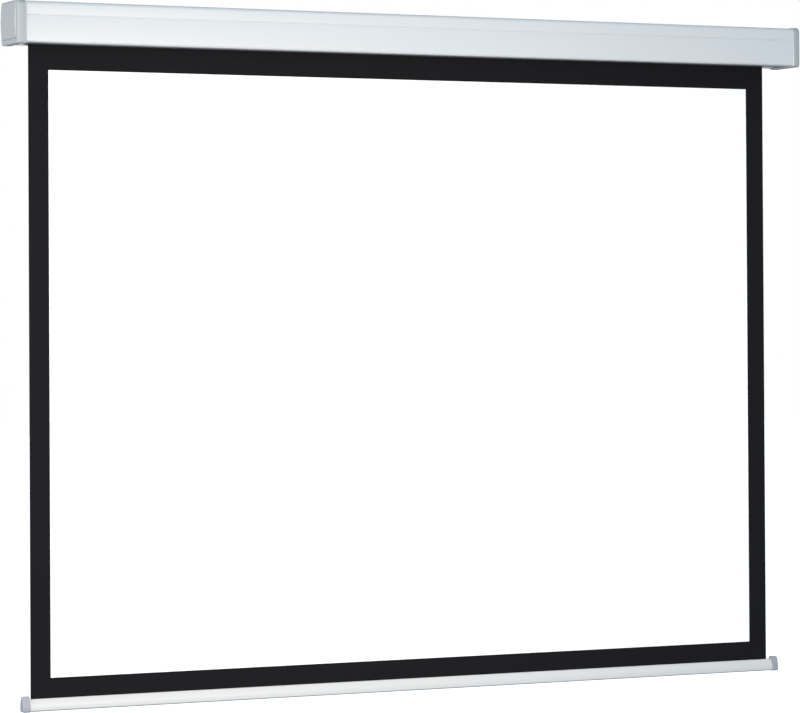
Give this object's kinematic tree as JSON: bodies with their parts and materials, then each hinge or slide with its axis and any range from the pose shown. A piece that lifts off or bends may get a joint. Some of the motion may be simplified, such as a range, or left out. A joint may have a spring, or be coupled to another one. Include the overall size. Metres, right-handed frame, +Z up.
{
  "type": "motorized projector screen",
  "caption": "Motorised projector screen: white aluminium case with grey end caps, black-bordered 4:3 fabric on a motor roller, weighted bottom bar, wall and ceiling brackets.",
  "frame": {"origin": "on the wall, midway along the case and at half its height", "axes": "+X to the right of someone facing the screen, +Y into the wall, +Z up"},
  "size_m": [2.1242, 0.1201, 1.6593],
  "materials": {
    "case_white": "satin white powder coat",
    "cap_grey": "fine textured grey moulding",
    "cover_grey": "fine textured grey moulding",
    "zinc_steel": "zinc plated",
    "dark_steel": "dark plated",
    "screw_steel": "zinc plated",
    "tube_aluminium": "mill finish",
    "motor_head_black": "moulded",
    "crown_black": "moulded",
    "limit_screw_white": "moulded",
    "limit_screw_red": "moulded",
    "gland_rubber": "matt",
    "bush_nylon": "moulded",
    "screen_fabric": "matt white coating, black border and back",
    "leader_fabric": "matt black",
    "bar_white": "satin white powder coat",
    "bar_cap_grey": "fine textured grey moulding"
  },
  "bodies": {
    "case": {"bracket_left": "zinc_steel", "bracket_right": "zinc_steel", "cable_gland": "gland_rubber", "cap_screw_left_1": "screw_steel", "cap_screw_left_2": "screw_steel", "cap_screw_right_1": "screw_steel", "cap_screw_right_2": "screw_steel", "case_profile": "case_white", "clamp_screw_left": "screw_steel", "clamp_screw_right": "screw_steel", "end_cap_left": "cap_grey", "end_cap_right": "cap_grey", "end_plate_left": "zinc_steel", "end_plate_right": "zinc_steel", "end_plate_screw_left_1": "screw_steel", "end_plate_screw_left_2": "screw_steel", "end_plate_screw_left_3": "screw_steel", "end_plate_screw_left_4": "screw_steel", "end_plate_screw_right_1": "screw_steel", "end_plate_screw_right_2": "screw_steel", "end_plate_screw_right_3": "screw_steel", "end_plate_screw_right_4": "screw_steel", "idle_pin": "zinc_steel", "motor_body": "dark_steel", "motor_head": "motor_head_black", "motor_screw_1": "screw_steel", "motor_screw_2": "screw_steel", "screen_fabric": "screen_fabric", "side_cover_left": "cover_grey", "side_cover_right": "cover_grey"},
    "roller": {"roller_tube": "tube_aluminium", "motor_crown": "crown_black", "idle_plug": "crown_black", "drive_wheel": "crown_black", "idle_bush": "bush_nylon", "motor_shaft": "zinc_steel", "fabric_wrap": "leader_fabric", "fabric_keder": "bush_nylon"},
    "screen": {"bottom_bar": "bar_white", "hem_rod": "bush_nylon", "weight_rod": "dark_steel", "bar_cap_left": "bar_cap_grey", "bar_cap_right": "bar_cap_grey", "bar_cap_screw_left": "screw_steel", "bar_cap_screw_right": "screw_steel"},
    "limit_up": {"limit_screw_up": "limit_screw_white"},
    "limit_down": {"limit_screw_down": "limit_screw_red"}
  },
  "joints": [
    {"name": "roller_turn", "type": "hinge", "parent": "case", "child": "roller", "pos_m": [0, -0.06308, 0.007], "axis": [1, 0, 0], "range_deg": [0, 2619.3]},
    {"name": "screen_lift", "type": "slide", "parent": "case", "child": "screen", "axis": [0, 0, 1], "range_m": [0, 1.556], "deforming": ["screen_fabric"]},
    {"name": "limit_up_turn", "type": "hinge", "parent": "case", "child": "limit_up", "pos_m": [1.0341, -0.06308, 0.007], "axis": [0, 0.5, -0.866], "continuous": true},
    {"name": "limit_down_turn", "type": "hinge", "parent": "case", "child": "limit_down", "pos_m": [1.0201, -0.06308, 0.007], "axis": [0, 0.5, -0.866], "continuous": true}
  ],
  "couplings": [
    {"joint": "screen_lift", "follows": "roller_turn", "m_per_rad": 0.034037}
  ]
}
